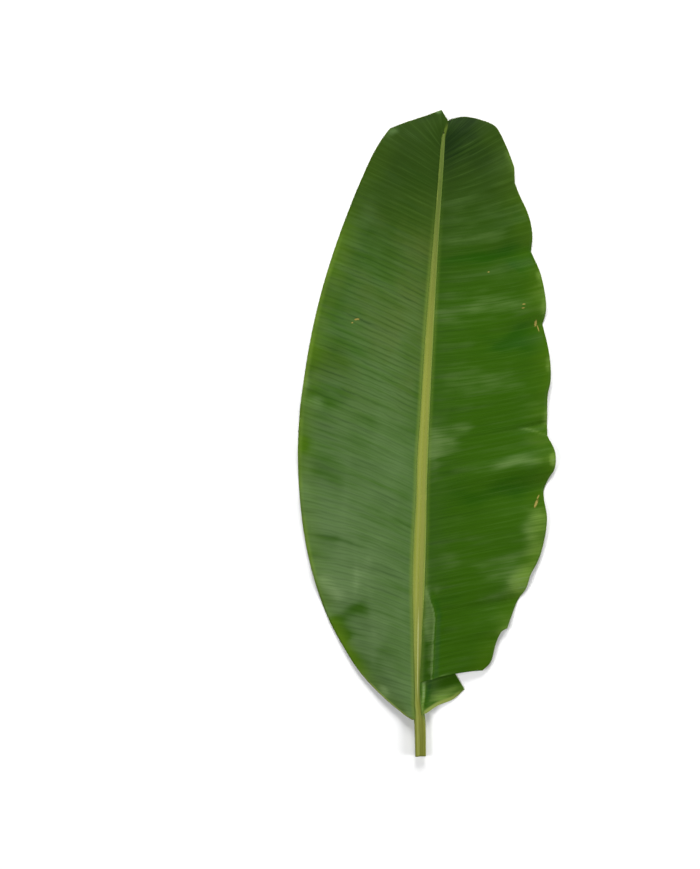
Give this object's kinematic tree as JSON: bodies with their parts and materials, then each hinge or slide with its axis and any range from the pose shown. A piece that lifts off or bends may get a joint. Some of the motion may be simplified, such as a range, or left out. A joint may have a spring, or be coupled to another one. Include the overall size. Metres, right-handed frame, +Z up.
{
  "type": "banana leaf",
  "caption": "Cut banana leaf lying face up, with a pleated waved blade, a torn lower edge, a channelled midrib and a short stalk.",
  "frame": {"origin": "on the floor under the middle of the leaf's bounding box", "axes": "+Y along the midrib from the cut stalk to the tip, +X out over the torn right half, +Z up out of the glossy upper face"},
  "size_m": [0.45, 1.129, 0.0274],
  "materials": {
    "blade": "satin",
    "midrib": "satin"
  },
  "bodies": {
    "root": {"blade": "blade", "midrib": "midrib"}
  },
  "joints": []
}
